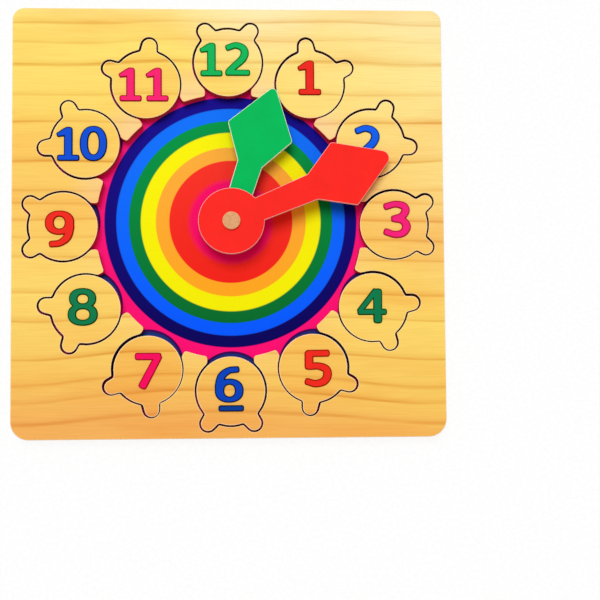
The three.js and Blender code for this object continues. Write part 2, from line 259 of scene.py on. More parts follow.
@dataclass(frozen=True)
class Finish:
    """A finish that a piece can be given; each kind wires its own colour, gloss and relief.

    Attributes:
        name: Name of its material.
    """

    name: str

    def material(self) -> Material:
        """Give the Blender material of this finish, made the first time it is asked for.

        Returns:
            The material.
        """
        made = bpy.data.materials.get(self.name)
        if made is None:
            made = bpy.data.materials.new(self.name)
            tree = ShaderTree(made)
            tree.add("OutputMaterial", [self.wire(tree)])
        return made

    def wire(self, tree: ShaderTree) -> Node:
        """Wire the finish in that tree and give its shader; each kind has its own way."""
        raise NotImplementedError


@dataclass(frozen=True)
class GrainLine:
    """A dark late-wood line of the board.

    Attributes:
        height: Where it runs, up the board from the middle, in mm.
        depth: How dark its core is, from 0 to 1.
    """

    height: float
    depth: float


# The lines that can be told apart on the face of the board, from its top edge down
BOARD_GRAIN = (
    GrainLine(141, 0.7),
    GrainLine(128, 0.5),
    GrainLine(112, 0.9),
    GrainLine(89, 0.6),
    GrainLine(69, 1.0),
    GrainLine(42.5, 0.9),
    GrainLine(22, 0.7),
    GrainLine(13, 0.6),
    GrainLine(1, 0.8),
    GrainLine(-12, 0.6),
    GrainLine(-26, 0.7),
    GrainLine(-50, 0.7),
    GrainLine(-69, 0.9),
    GrainLine(-96, 1.0),
    GrainLine(-114, 0.8),
    GrainLine(-125, 0.8),
    GrainLine(-140, 0.8),
)

# Across a line, from its hard lower side to its long fade: place in mm, share of its darkness
LINE_PROFILE = ((-1.1, 0.0), (-0.4, 1.0), (0.4, 1.0), (0.9, 0.4), (4.4, 0.0))

# The tone of the wood between the lines, up the board in mm and colour: partly the wood's own tone, partly
# painted fall-off of the lamp's light, darker and oranger towards the foot
BOARD_TONES = (
    (-150, "#F4B056"),
    (-118, "#F8C65C"),
    (-60, "#FCD868"),
    (10, "#FBC95C"),
    (65, "#FDD760"),
    (118, "#FEE168"),
    (134, "#FEE06E"),
    (150, "#FEE288"),
)


@dataclass(frozen=True)
class LacqueredPine(Finish):
    """Pine board, planed along the grain, sanded and sealed with thin clear lacquer.

    Planing shows the growth rings as dark lines that run straight across, each with a soft orange
    side where the early wood shades into the late wood, and the lacquer gives a soft satin sheen.

    Attributes:
        warmth: How orange this stretch of the board is, from 0 to 1.
        grain_depth: How strongly the lines show, 1 on the planed face.
        veil: Colour that lies over the wood; on the rounded edges it is a painted highlight.
        veil_share: How much of it, from 0 to 1.
        roughness: Roughness of the surface.
        painted_bounce: How much painted pink bounce light from the print lies by the rim of the dial's
            opening, from 0 to 1.
        painted_bounce_colour: The colour of that painted bounce light.
        painted_bounce_reach: How far from the rim it goes.
    """

    warmth: float = 0.0
    grain_depth: float = 1.0
    veil: str = "#FFE9B0"
    veil_share: float = 0.0
    roughness: float = 0.42
    painted_bounce: float = 0.0
    painted_bounce_colour: str = "#F9D0B0"
    painted_bounce_reach: float = 18 * MM

    def wire(self, tree: ShaderTree) -> Node:
        """Lay tones, patches, growth rings and fibres over each other, with painted sheen, highlight and
        bounce light.

        Args:
            tree: The nodes of the material.

        Returns:
            The shader.
        """
        rings = self.ring_place(tree)
        lines = self.lines(tree, rings)
        # The fibres are some 0.6 mm wide here; real ones are finer and would vanish at this size
        fibres = tree.mottling((22.2, 0.625, 0.625), detail=2.0)
        fibre = tree.add("ValToRGB", [fibres], [(0.3, "#EEE2CE"), (0.6, "#FFFFFF")])
        # The board is yellower to the right, so its tones slant
        slanted = tree.add("Math", [tree.axis("X"), 0.25, rings], operation="MULTIPLY_ADD")
        tones = [(height * MM / BOARD_SIDE + 0.5, colour) for height, colour in BOARD_TONES]
        # Orange patches, long along the grain and a fifth as high
        patches = tree.mottling((111, 20.8, 50), detail=3.0)
        warmed = tree.add("MapRange", [patches, 0.48, 0.75, self.warmth, self.warmth + 0.55])
        colour = tree.overlaid(
            tree.add("ValToRGB", [slanted], tones),
            # Painted sheen of the lamp: paler to the upper right and above the twelve
            (self.painted_sheen(tree), "#FFEFB8", Blend.COVER),
            (warmed, "#FCDDBC", Blend.TINT),
            (lines, "#E6BC76", Blend.TINT),
            (0.35, fibre, Blend.TINT),
            # On the rounded edges this pale veil is a painted highlight
            (self.veil_share, self.veil, Blend.COVER),
            # Painted pink bounce light from the print, near the opening's rim
            (self.painted_rim_bounce(tree), self.painted_bounce_colour, Blend.COVER),
        )
        gloss = tree.add("MapRange", [lines, 0.0, 1.0, self.roughness, self.roughness + 0.15])
        return tree.surface(colour, gloss, specular=0.12, relief=fibre, strength=0.25, depth=0.05)

    def ring_place(self, tree: ShaderTree) -> Node:
        """Find the place across the growth rings, which wander, lean and near the foot bow upwards.

        Args:
            tree: The nodes of the material.

        Returns:
            The place, 0 at the board's foot and 1 at its head.
        """
        half = BOARD_SIDE / 2
        lean = -0.5
        # The bow sets in 40 mm below the middle of the board and is full from 110 mm
        rise = 9 * MM
        sideways = tree.axis("X")
        swell = tree.mottling((111, 45.5, 45.5), detail=1.5, roughness=0.4)
        wander = tree.add("MapRange", [swell, 0.0, 1.0, -5 * MM, 5 * MM])
        foot_share = tree.add("MapRange", [tree.axis("Y"), -40 * MM, -110 * MM, 0.0, -rise / half**4])
        dome = tree.add("Math", [sideways, sideways, -half * half], operation="MULTIPLY_ADD")
        bell = tree.add("Math", [dome, dome], operation="MULTIPLY")
        shift = tree.add("Math", [bell, foot_share, wander], operation="MULTIPLY_ADD")
        leaning = tree.add("VectorMath", [tree.place, (0, 1, lean)], operation="DOT_PRODUCT")
        across = tree.add("Math", [leaning, shift], operation="ADD")
        return tree.add("MapRange", [across, lean * FACE_HEIGHT - half, lean * FACE_HEIGHT + half])

    def painted_rim_bounce(self, tree: ShaderTree) -> Node:
        """Find the share of the painted pink bounce light from the print, which fades from the opening's rim
        and to the board's foot.

        Args:
            tree: The nodes of the material.

        Returns:
            The share, from 0 to 1.
        """
        edge = OPENING_RADIUS + self.painted_bounce_reach
        near_rim = tree.add("MapRange", [tree.reach, OPENING_RADIUS, edge, self.painted_bounce, 0.0])
        near_head = tree.add("MapRange", [tree.axis("Y"), -30 * MM, 60 * MM, 0.2])
        return tree.add("Math", [near_rim, near_head], operation="MULTIPLY")

    def painted_sheen(self, tree: ShaderTree) -> Node:
        """Find where the wood is painted paler as the lamp's sheen: to the upper right, and in a patch above
        the twelve.

        Args:
            tree: The nodes of the material.

        Returns:
            The share of the painted sheen's paler colour, from 0 to 1.
        """
        patch = (25 * MM, 165 * MM, FACE_HEIGHT)
        to_corner = tree.add("VectorMath", [tree.place, (1, 1, 0)], operation="DOT_PRODUCT")
        painted_sheen_side = tree.add("MapRange", [to_corner, 72.2 * MM, 277.8 * MM, 0.0, 0.53])
        from_patch = tree.add("VectorMath", [tree.place, patch], operation="DISTANCE")
        painted_sheen_patch = tree.add("MapRange", [from_patch, 15 * MM, 75 * MM, 0.8, 0.0])
        return tree.add("Math", [painted_sheen_side, painted_sheen_patch], operation="MAXIMUM")

    def lines(self, tree: ShaderTree, rings: Source) -> Node:
        """Find the darkness of the growth rings' lines, which come and go along the board.

        A ramp holds up to 32 stops and a line takes five, so every third line shares a ramp.

        Args:
            tree: The nodes of the material.
            rings: The place across the growth rings.

        Returns:
            The darkness, from 0 to 1.
        """
        ramps = []
        for first in range(3):
            stops = [
                ((line.height + away) * MM / BOARD_SIDE + 0.5, grey(share * line.depth))
                for line in reversed(BOARD_GRAIN[first::3])
                for away, share in LINE_PROFILE
            ]
            ramps.append(tree.add("ValToRGB", [rings], stops))
        depth = tree.add("Math", ramps[:2], operation="MAXIMUM")
        depth = tree.add("Math", [depth, ramps[2]], operation="MAXIMUM")
        wear = tree.mottling((90.9, 16.7, 50), detail=2.0)
        strength = tree.add("MapRange", [wear, 0.35, 0.65, 0.45 * self.grain_depth, self.grain_depth])
        return tree.add("Math", [depth, strength], operation="MULTIPLY", use_clamp=True)


@dataclass(frozen=True)
class KerfCharAndPaintedShade(Finish):
    """Wall of a cut that a thin blade has burnt, also painted darker near the face as shade, so that it reads
    as a dark brown line from above.

    Near the face it is darkest, partly from the burn and partly as painted shade of the narrow cut, and its
    streaks run up and down as the teeth leave them. Round the dial the wall is painted red, standing in for
    the light that the printed sheet reflects onto it.

    Attributes:
        dark: Colour near the face, partly the deepest burn and partly painted shade.
        brown: Colour where it is thinner.
        wall: Colour of the wall lower down.
        streak: Colour of the streaks in it.
        red: Colour next to the dial, painted as the print's reflected light.
    """

    dark: str = "#5E2A06"
    brown: str = "#84440E"
    wall: str = "#9A6020"
    streak: str = "#6A3A10"
    red: str = "#D23638"

    def wire(self, tree: ShaderTree) -> Node:
        """Streak the burn and the painted shade over the sawn wood, and paint the print's reflected light as
        red round the dial.

        Args:
            tree: The nodes of the material.

        Returns:
            The shader.
        """
        # Real teeth leave finer streaks, which would vanish at this size
        streaks = tree.mottling((3.125, 3.125, 16.7), detail=3.0)
        sawn = tree.add("ValToRGB", [streaks], [(0.38, self.streak), (0.6, self.wall)])
        scorch_and_painted_shade = tree.add("ValToRGB", [streaks], [(0.35, self.dark), (0.7, self.brown)])
        # Darker towards the face: partly burn, partly painted shade of the narrow cut
        near_face = tree.add("MapRange", [tree.axis("Z"), FACE_HEIGHT - 3.5 * MM, FACE_HEIGHT - 1.0 * MM])
        edge = OPENING_RADIUS + 2.0 * MM
        # Red near the dial: painted light reflected from the print
        near_dial = tree.add("MapRange", [tree.reach, OPENING_RADIUS, edge, 1.0, 0.0])
        burn_and_painted_shade_layer = (near_face, scorch_and_painted_shade, Blend.COVER)
        colour = tree.overlaid(sawn, burn_and_painted_shade_layer, (near_dial, self.red, Blend.COVER))
        return tree.surface(colour, 0.85, specular=0.05, relief=streaks, strength=0.4, depth=0.1)


@dataclass(frozen=True)
class PrintRing:
    """A ring of one ink.

    Attributes:
        reach: Its outer radius in mm.
        head: The ink at the dial's head.
        foot: The ink at its foot, darker as painted fall-off of the lamp's light.
        blur: Width over which it turns into the next ring, in mm.
    """

    reach: float
    head: str
    foot: str
    blur: float = 0.3


# Each ring's foot ink is darker than its head ink as painted fall-off of the lamp's light
PRINT_RINGS = (
    PrintRing(29.2, "#FF0C6E", "#FA0A60", 3.8),
    PrintRing(43.1, "#FF3A2C", "#F0180F"),
    PrintRing(52.6, "#FFB341", "#FFA510"),
    PrintRing(62.8, "#FFF808", "#F4EE00"),
    PrintRing(71.3, "#049A48", "#06692A"),
    PrintRing(79.8, "#1276FF", "#0459FF"),
    PrintRing(88.3, "#180C90", "#0A025C"),
    PrintRing(100.0, "#FF1A7C", "#FF0E76"),
)


@dataclass(frozen=True)
class PrintedInk(Finish):
    """Ink printed on coated paper and rolled onto the backing: flat, clean colour with a faint screen.

    Attributes:
        centre: Where the rings' centre lies, in mm.
        disc: Ink of the round picture under each piece, near its edge: partly the picture's blue, partly
            painted shade of the gap beside the piece.
        middle: Ink of its middle, the picture's own lighter blue, into which it fades.
        rim: Ink of its rim where it shows beside the dial.
        painted_kerf_shade: Near-black painted on its rim further out, under the saw cut, as the shade in the
            cut.
        rim_width: Width of its rim, in mm.
        disc_reach: How far the discs' centres lie from the rings' centre, in mm.
        disc_radius: Radius of a disc, in mm.
        dot: Ink of the counting dots in the discs, as many in each as its hour.
        dot_reach: Radius of the ring in which the dots lie, in mm.
        dot_radius: Radius of a dot, in mm.
    """

    centre: tuple[float, float] = (1.2, 1.05)
    disc: str = "#1C3176"
    middle: str = "#2A78D0"
    rim: str = "#380A56"
    painted_kerf_shade: str = "#160502"
    rim_width: float = 1.6
    disc_reach: float = 116.0
    disc_radius: float = 25.2
    dot: str = "#FFF3C4"
    dot_reach: float = 12.5
    dot_radius: float = 2.4

    def wire(self, tree: ShaderTree) -> Node:
        """Print rings, discs and dots over each other.

        Args:
            tree: The nodes of the material.

        Returns:
            The shader.
        """
        to_centre = (-self.centre[0], -self.centre[1], 0)
        in_mm = (1 / MM, 1 / MM, 0)
        flat = tree.add("VectorMath", [tree.place, in_mm, to_centre], operation="MULTIPLY_ADD")
        radius = tree.add("VectorMath", [flat], operation="LENGTH")
        rim, disc, middle, dots = self.discs(tree, flat)
        # Under the saw cut the rim is painted near-black as the shade in the cut
        far = tree.add("MapRange", [radius, 97.0, 103.0])
        # A real screen is finer and would vanish at this size
        screen = tree.mottling(0.455, detail=1.0)
        colour = tree.overlaid(
            self.rings(tree, radius),
            (rim, tree.overlaid(self.rim, (far, self.painted_kerf_shade, Blend.COVER)), Blend.COVER),
            # The disc's dark edge: partly the picture's blue, partly painted shade beside the piece
            (disc, self.disc, Blend.COVER),
            (middle, self.middle, Blend.COVER),
            (dots, self.dot, Blend.COVER),
            (1.0, tree.add("ValToRGB", [screen], [(0.3, "#FAF8F9"), (0.6, "#FFFFFF")]), Blend.TINT),
        )
        return tree.surface(colour, 0.5, specular=0.02, relief=screen, strength=0.1, depth=0.02)

    def rings(self, tree: ShaderTree, radius: Source) -> Source:
        """Colour the rings and the ground, from the inks at the foot to those at the head; the darker foot
        inks are painted fall-off of the lamp's light.

        Args:
            tree: The nodes of the material.
            radius: Distance from the rings' centre, in mm.

        Returns:
            The colour.
        """
        full = BOARD_SIDE / 2 / MM
        share = tree.add("Math", [radius, full], operation="DIVIDE")
        ramps = []
        for inks in ([ring.foot for ring in PRINT_RINGS], [ring.head for ring in PRINT_RINGS]):
            stops = [(0.0, inks[0])]
            for ring, inner, outer in zip(PRINT_RINGS, inks[:-1], inks[1:]):
                stops.append(((ring.reach - ring.blur / 2) / full, inner))
                stops.append(((ring.reach + ring.blur / 2) / full, outer))
            ramps.append(tree.add("ValToRGB", [share], stops))
        # Darker towards the foot: painted fall-off of the lamp's light
        middle = self.centre[1] * MM
        height = tree.add("MapRange", [tree.axis("Y"), middle - 75 * MM, middle + 75 * MM])
        return tree.overlaid(ramps[0], (height, ramps[1], Blend.COVER))

    def discs(self, tree: ShaderTree, flat: Source) -> tuple[Node, ...]:
        """Find where the discs and their dots are.

        The dial is folded into one twelfth, and each disc into one part for each of its dots.

        Args:
            tree: The nodes of the material.
            flat: Place from the rings' centre, in mm.

        Returns:
            The shares of the discs' rims, of the discs, of their middles and of the dots.
        """
        hour, folded = self.folded(tree, flat, FULL_TURN / HOURS)
        spot = tree.add("VectorMath", [folded, (0, self.disc_reach, 0)], operation="SUBTRACT")
        spread = tree.add("VectorMath", [spot], operation="LENGTH")
        count = tree.add("Math", [hour, HOURS + 0.5, 0.5], operation="WRAP")
        dot_angle = tree.add("Math", [FULL_TURN, count], operation="DIVIDE")
        _, dot_spot = self.folded(tree, spot, dot_angle)
        dot_spread = tree.add("VectorMath", [dot_spot, (0, self.dot_reach, 0)], operation="DISTANCE")
        return (
            self.inside(tree, spread, self.disc_radius),
            self.inside(tree, spread, self.disc_radius - self.rim_width),
            self.inside(tree, spread, 0.8 * self.disc_radius, 4.0),
            self.inside(tree, dot_spread, self.dot_radius),
        )

    def folded(self, tree: ShaderTree, flat: Source, step: Source | float) -> tuple[Node, Node]:
        """Turn every place by whole steps until it lies next to the line straight up.

        Args:
            tree: The nodes of the material.
            flat: The place, from the centre that it turns about.
            step: The angle of a step.

        Returns:
            The number of steps, and the place after them.
        """
        axes = tree.add("SeparateXYZ", [flat]).outputs
        angle = tree.add("Math", [axes["X"], axes["Y"]], operation="ARCTAN2")
        part = tree.add("Math", [angle, step], operation="DIVIDE")
        steps = tree.add("Math", [part], operation="ROUND")
        turn = tree.add("Math", [steps, step], operation="MULTIPLY")
        return steps, tree.add("VectorRotate", {"Vector": flat, "Angle": turn}, rotation_type="Z_AXIS")

    def inside(self, tree: ShaderTree, spread: Source, radius: float, blur: float = 0.3) -> Node:
        """Give 1 where the spread is inside the radius and 0 outside, over a blur, all in mm."""
        return tree.add("MapRange", [spread, radius - blur / 2, radius + blur / 2, 1.0, 0.0])


class Paint(Enum):
    """The enamels, each with the record's material slot and three colours: the face's own, and darker ones for
    the edge and the sides as painted shade.
    """

    GREEN = ("green_paint", "#10B85B", "#0C6820", "#0A4A22")
    DARK_GREEN = ("dark_green_paint", "#0F7B4C", "#0A3E12", "#073020")
    RED = ("red_paint", "#F12A1E", "#9A1400", "#5E0A04")
    BLUE = ("blue_paint", "#1160F0", "#0A2266", "#06143E")
    MID_BLUE = ("blue_paint", "#0C4FD6", "#031448", "#030E34")
    DEEP_BLUE = ("blue_paint", "#0A43BC", "#031040", "#020C30")
    NIGHT_BLUE = ("blue_paint", "#083C94", "#020C34", "#020824")
    PINK = ("pink_paint", "#FC2272", "#A80630", "#6E0422")
    CRIMSON = ("pink_paint", "#FA0A60", "#A80424", "#6E041E")
    ROSE = ("pink_paint", "#F6227A", "#AC0A3C", "#6E0422")

    def __init__(self, slot: str, face: str, edge: str, side: str) -> None:
        """Give the parts of the value their names.

        Args:
            slot: Name of the record's material slot.
            face: Colour of the flat face.
            edge: Colour of the rounded edge, darkened as painted shade.
            side: Colour of the sides, darker still as painted shade, where little light falls.
        """
        self.slot = slot
        self.face = face
        self.edge = edge
        self.side = side


@dataclass(frozen=True)
class SatinEnamel(Finish):
    """Water-based enamel rolled onto wood: full, even colour with a soft sheen and faint orange peel.

    Attributes:
        colour: The paint.
        worn: What shows where the paint is thin.
        wear: How much of it shows, from 0 to 1.
    """

    colour: str = "#FFFFFF"
    worn: str = "#FFFFFF"
    wear: float = 0.0

    def wire(self, tree: ShaderTree) -> Node:
        """Mottle the paint a little, thin it where it is worn, and give it orange peel.

        Args:
            tree: The nodes of the material.

        Returns:
            The shader.
        """
        clouds = tree.mottling(14.3, detail=3.0)
        mottle = tree.add("ValToRGB", [clouds], [(0.3, "#F6F6F6"), (0.65, "#FFFFFF")])
        thinnest = 0.78 - 0.5 * self.wear
        scuffs = tree.mottling(3.85, detail=4.0)
        bare = tree.add("MapRange", [scuffs, thinnest - 0.16, thinnest, 0.0, min(1.0, 2 * self.wear)])
        colour = tree.overlaid(self.colour, (1.0, mottle, Blend.TINT), (bare, self.worn, Blend.COVER))
        gloss = tree.add("MapRange", [clouds, 0.0, 1.0, 0.30, 0.42])
        # Orange peel of about 1 mm
        peel = tree.mottling(1.11, detail=1.0)
        return tree.surface(colour, gloss, specular=0.02, relief=peel, strength=0.15, depth=0.05)


@dataclass(frozen=True)
class TurnedBeech(Finish):
    """Beech turned on a lathe: fine flecks, faint rings round the axis, a hand-rubbed dull sheen.

    Attributes:
        colour: The wood.
        fleck: Its darker flecks.
        pale: Its paler flecks.
        axis: Where the lathe's axis stands, in mm.
        ring_spacing: Distance between the tool's rings, in mm.
    """

    colour: str = "#E0A673"
    fleck: str = "#D99C68"
    pale: str = "#E4AE7E"
    axis: tuple[float, float] = (1.4, -0.6)
    ring_spacing: float = 1.43

    def wire(self, tree: ShaderTree) -> Node:
        """Lay short flecks and turning rings over the tone.

        Args:
            tree: The nodes of the material.

        Returns:
            The shader.
        """
        axis = (self.axis[0] * MM, self.axis[1] * MM, 0)
        centred = tree.add("VectorMath", [tree.place, axis], operation="SUBTRACT")
        # At a scale of 1 a wave texture has twenty rings in as many metres as a full turn has radians
        scale = FULL_TURN / 20 / (self.ring_spacing * MM)
        wave = {"Vector": centred, "Scale": scale, "Distortion": 1.0, "Detail": 1.0}
        rings = tree.add("TexWave", wave, wave_type="RINGS", rings_direction="Z").outputs["Fac"]
        # Flecks of 2 mm with finer ones over them
        flecks = tree.mottling(2.0, detail=2.0, place=centred)
        speckled = tree.add("ValToRGB", [flecks], [(0.3, self.fleck), (0.5, self.colour), (0.75, self.pale)])
        colour = tree.overlaid(speckled, (rings, "#F8F0E8", Blend.TINT))
        return tree.surface(colour, 0.5, specular=0.15, relief=rings, strength=0.08, depth=0.05)


@dataclass(frozen=True)
class Plywood(Finish):
    """Three-ply board: pale rotary-cut veneer on its face, and the darker core as a band in its edge.

    Attributes:
        veneer: Colour of the outer plies.
        core: Colour of the middle ply.
        thickness: Thickness of the board, in mm.
    """

    veneer: str = "#E9C999"
    core: str = "#C79A63"
    thickness: float = 3.0

    def wire(self, tree: ShaderTree) -> Node:
        """Band the plies by height, and draw the veneer's long soft figure over them.

        Args:
            tree: The nodes of the material.

        Returns:
            The shader.
        """
        share = tree.add("Math", [tree.axis("Z"), self.thickness * MM], operation="DIVIDE")
        bands = [(0.30, self.veneer), (0.34, self.core), (0.66, self.core), (0.70, self.veneer)]
        plies = tree.add("ValToRGB", [share], bands)
        # A figure some 140 mm long and 7 mm wide
        figure = tree.mottling((143, 6.67, 1.67), detail=5.0, distortion=0.6)
        tint = tree.add("ValToRGB", [figure], [(0.3, "#D9C4A4"), (0.5, "#F4EBDD"), (0.7, "#FFFFFF")])
        colour = tree.overlaid(plies, (1.0, tint, Blend.TINT))
        return tree.surface(colour, 0.7, specular=0.25, relief=figure, strength=0.3, depth=0.05)


@dataclass(frozen=True)
class PaperEdge(Finish):
    """Cut edge and glued back of coated paper: off-white with a felted surface."""

    def wire(self, tree: ShaderTree) -> Node:
        """Felt the off-white a little.

        Args:
            tree: The nodes of the material.

        Returns:
            The shader.
        """
        # Real paper fibres are finer and would vanish at this size
        felt = tree.mottling(0.667, detail=3.0)
        colour = tree.add("ValToRGB", [felt], [(0.3, "#DDD6C8"), (0.6, "#F2EEE6")])
        return tree.surface(colour, 0.8, specular=0.5, relief=felt, strength=0.2, depth=0.02)


# The face carries painted pink bounce light from the print near the opening's rim
PINE_FACE = LacqueredPine("lacquered_pine_face", painted_bounce=0.4)
# The pale veil on the pieces' rounded edges is a painted highlight
PINE_EDGE = LacqueredPine("pine_edge_painted_highlight", grain_depth=0.5, veil="#FFF0D0", veil_share=0.55)
# The opening's rounded edge carries a painted highlight and painted pink bounce light from the print
OPENING_EDGE = LacqueredPine(
    "pine_edge_painted_highlight_and_bounce",
    grain_depth=0.5,
    veil="#FFF0D0",
    veil_share=0.5,
    painted_bounce=0.7,
    painted_bounce_colour="#FF8C80",
    painted_bounce_reach=3 * MM,
)
PINE_SIDE = LacqueredPine("sawn_pine_side", veil="#E8B970", veil_share=0.25, roughness=0.6)
KERF = KerfCharAndPaintedShade("kerf_char_and_painted_shade")
PRINT = PrintedInk("printed_ink")
PAPER = PaperEdge("paper_edge")
PLY = Plywood("three_ply")
BEECH = TurnedBeech("turned_beech")


@dataclass(frozen=True)
class Dress:
    """The finishes of a cut plate, one for each kind of surface."""

    face: Finish
    edge: Finish
    side: Finish
    cut: Finish
    back: Finish

    def order(self) -> list[Finish]:
        """List the finishes in the order of their slots."""
        return [self.face, self.edge, self.side, self.cut, self.back]


class Surface(Enum):
    """Kinds of surface on a cut plate, numbered as their material slots."""

    FACE = 0
    EDGE = 1
    SIDE = 2
    CUT = 3
    BACK = 4


def make_object(name: str, mesh: bmesh.types.BMesh, finishes: Sequence[Finish], crease: float) -> Object:
    """Turn a mesh into an object of the scene.

    Its walls are of four-sided faces and shade smoothly. Its caps are of other faces and stay flat.

    Args:
        name: Name of the object.
        mesh: The mesh, which is used up.
        finishes: The finishes in the order of their slots.
        crease: Angle in degrees over which an edge stays sharp.

    Returns:
        The object.
    """
    data = bpy.data.meshes.new(name)
    mesh.to_mesh(data)
    mesh.free()
    data.set_sharp_from_angle(angle=math.radians(crease))
    for polygon in data.polygons:
        polygon.use_smooth = len(polygon.vertices) == 4
    for finish in finishes:
        data.materials.append(finish.material())
    made = bpy.data.objects.new(name, data)
    bpy.context.scene.collection.objects.link(made)
    return made


@dataclass(frozen=True)
class CutPlate:
    """A plate sawn to an outline, with broken edges.

    The outline, the holes and the thickness are those of the node that it stands for.

    Attributes:
        node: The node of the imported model.
        dress: Its finishes.
        top_round: Radius of the edge round the face.
        foot_round: Radius of the edge round the back.
        steps: Facets in each rounded edge.
        side_steps: How many of those round the face are finished as the side.
    """

    node: str
    dress: Dress
    top_round: float = 0.4 * MM
    foot_round: float = 0.25 * MM
    steps: int = 4
    side_steps: int = 0

    def outlines(self, source: Object) -> tuple[list[list[Vector]], float, float]:
        """Trace the face of the node.

        Args:
            source: The node's object.

        Returns:
            The outlines with the material on their left, the outer one first, then the heights of
            the back and of the face.
        """
        near = 1e-6
        mesh = bmesh.new()
        mesh.from_mesh(source.data)
        bmesh.ops.remove_doubles(mesh, verts=mesh.verts, dist=near)
        foot = min(vertex.co.z for vertex in mesh.verts)
        top = max(vertex.co.z for vertex in mesh.verts)
        on_top = [face for face in mesh.faces if all(top - vertex.co.z < near for vertex in face.verts)]
        following: dict[int, int] = {}
        places: dict[int, Vector] = {}
        for face in on_top:
            for loop in face.loops:
                if any(other in on_top for other in loop.edge.link_faces if other != face):
                    continue
                following[loop.vert.index] = loop.link_loop_next.vert.index
                places[loop.vert.index] = loop.vert.co.xy
        mesh.free()
        outlines = []
        while following:
            step = min(following)
            outlines.append([])
            while step in following:
                outlines[-1].append(places[step])
                step = following.pop(step)
        outlines.sort(key=lambda outline: -max(point.x for point in outline))
        return outlines, foot, top

    def refined(self, outline: list[Vector]) -> list[Vector]:
        """Add a point on the arc over each short side of an outline, so that its curves run smooth.

        A sharp turn is a corner, and a side much longer than its neighbours is straight; neither is
        rounded.

        Args:
            outline: The outline.

        Returns:
            The outline with the new points.
        """
        sharpest = math.radians(28)
        longest = 2.5
        count = len(outline)
        sides = [outline[(index + 1) % count] - outline[index] for index in range(count)]
        turns = []
        for index, side in enumerate(sides):
            before = sides[index - 1]
            turn = math.atan2(before.x * side.y - before.y * side.x, before.dot(side))
            turns.append(turn if abs(turn) < sharpest else None)
        points = []
        for index, side in enumerate(sides):
            points.append(outline[index])
            ends = [turn for turn in (turns[index], turns[(index + 1) % count]) if turn is not None]
            shortest = min(sides[index - 1].length, sides[(index + 1) % count].length)
            if ends and side.length < longest * shortest:
                rise = math.tan(sum(ends) / len(ends) / 4) / 2
                points.append(outline[index] + side / 2 + Vector((side.y, -side.x)) * rise)
        return points

    def ring_levels(self, foot: float, top: float) -> list[tuple[float, float, Surface]]:
        """List the rings of vertices from the back to the face.

        Args:
            foot: Height of the back.
            top: Height of the face.

        Returns:
            For each ring how far in and how high it lies, and the surface above it.
        """
        levels = []
        if self.foot_round > 0:
            for step in range(self.steps):
                turn = math.pi / 2 * step / self.steps
                inward = self.foot_round * (1 - math.sin(turn))
                height = foot + self.foot_round * (1 - math.cos(turn))
                levels.append((inward, height, Surface.EDGE))
        levels.append((0.0, foot + self.foot_round, Surface.SIDE))
        for step in range(self.steps + 1):
            turn = math.pi / 2 * step / self.steps
            inward = self.top_round * (1 - math.cos(turn))
            height = top - self.top_round * (1 - math.sin(turn))
            levels.append((inward, height, Surface.SIDE if step < self.side_steps else Surface.EDGE))
        return levels

    def inward_steps(self, outline: list[Vector]) -> list[Vector]:
        """Find for each point of an outline the step that takes it one unit into the material.

        Args:
            outline: The outline, with the material on its left.

        Returns:
            The steps.
        """
        least_spread = 0.35
        steps = []
        for index, point in enumerate(outline):
            before = (point - outline[index - 1]).normalized()
            after = (outline[(index + 1) % len(outline)] - point).normalized()
            left_before = Vector((-before.y, before.x))
            left_after = Vector((-after.y, after.x))
            spread = max(least_spread, 1 + left_before.dot(left_after))
            steps.append((left_before + left_after) / spread)
        return steps

    def build(self, nodes: dict[str, Object]) -> Object:
        """Make the plate's object.

        Args:
            nodes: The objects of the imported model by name.

        Returns:
            The new object, dressed.
        """
        loops, foot, top = self.outlines(nodes[self.node])
        levels = self.ring_levels(foot, top)
        mesh = bmesh.new()
        rims: dict[Surface, list[bmesh.types.BMEdge]] = {Surface.BACK: [], Surface.FACE: []}
        for number, outline in enumerate(map(self.refined, loops)):
            steps = self.inward_steps(outline)
            rings = []
            for inward, height, _ in levels:
                points = [point + step * inward for point, step in zip(outline, steps)]
                rings.append([mesh.verts.new((point.x, point.y, height)) for point in points])
            for (_, _, surface), lower, upper in zip(levels, rings[:-1], rings[1:]):
                if surface is Surface.SIDE and number > 0:
                    surface = Surface.CUT
                for index in range(len(outline)):
                    after = (index + 1) % len(outline)
                    face = mesh.faces.new((lower[index], lower[after], upper[after], upper[index]))
                    face.material_index = surface.value
            for surface, ring in ((Surface.BACK, rings[0]), (Surface.FACE, rings[-1])):
                for index in range(len(ring)):
                    rims[surface].append(mesh.edges.get((ring[index], ring[(index + 1) % len(ring)])))
        for surface, up in ((Surface.BACK, -1), (Surface.FACE, 1)):
            cap = bmesh.ops.triangle_fill(mesh, use_beauty=True, edges=rims[surface], normal=(0, 0, up))
            for face in cap["geom"]:
                if isinstance(face, bmesh.types.BMFace):
                    face.material_index = surface.value
                    if face.normal.z * up < 0:
                        face.normal_flip()
        return make_object(self.node + "_shown", mesh, self.dress.order(), crease=38)


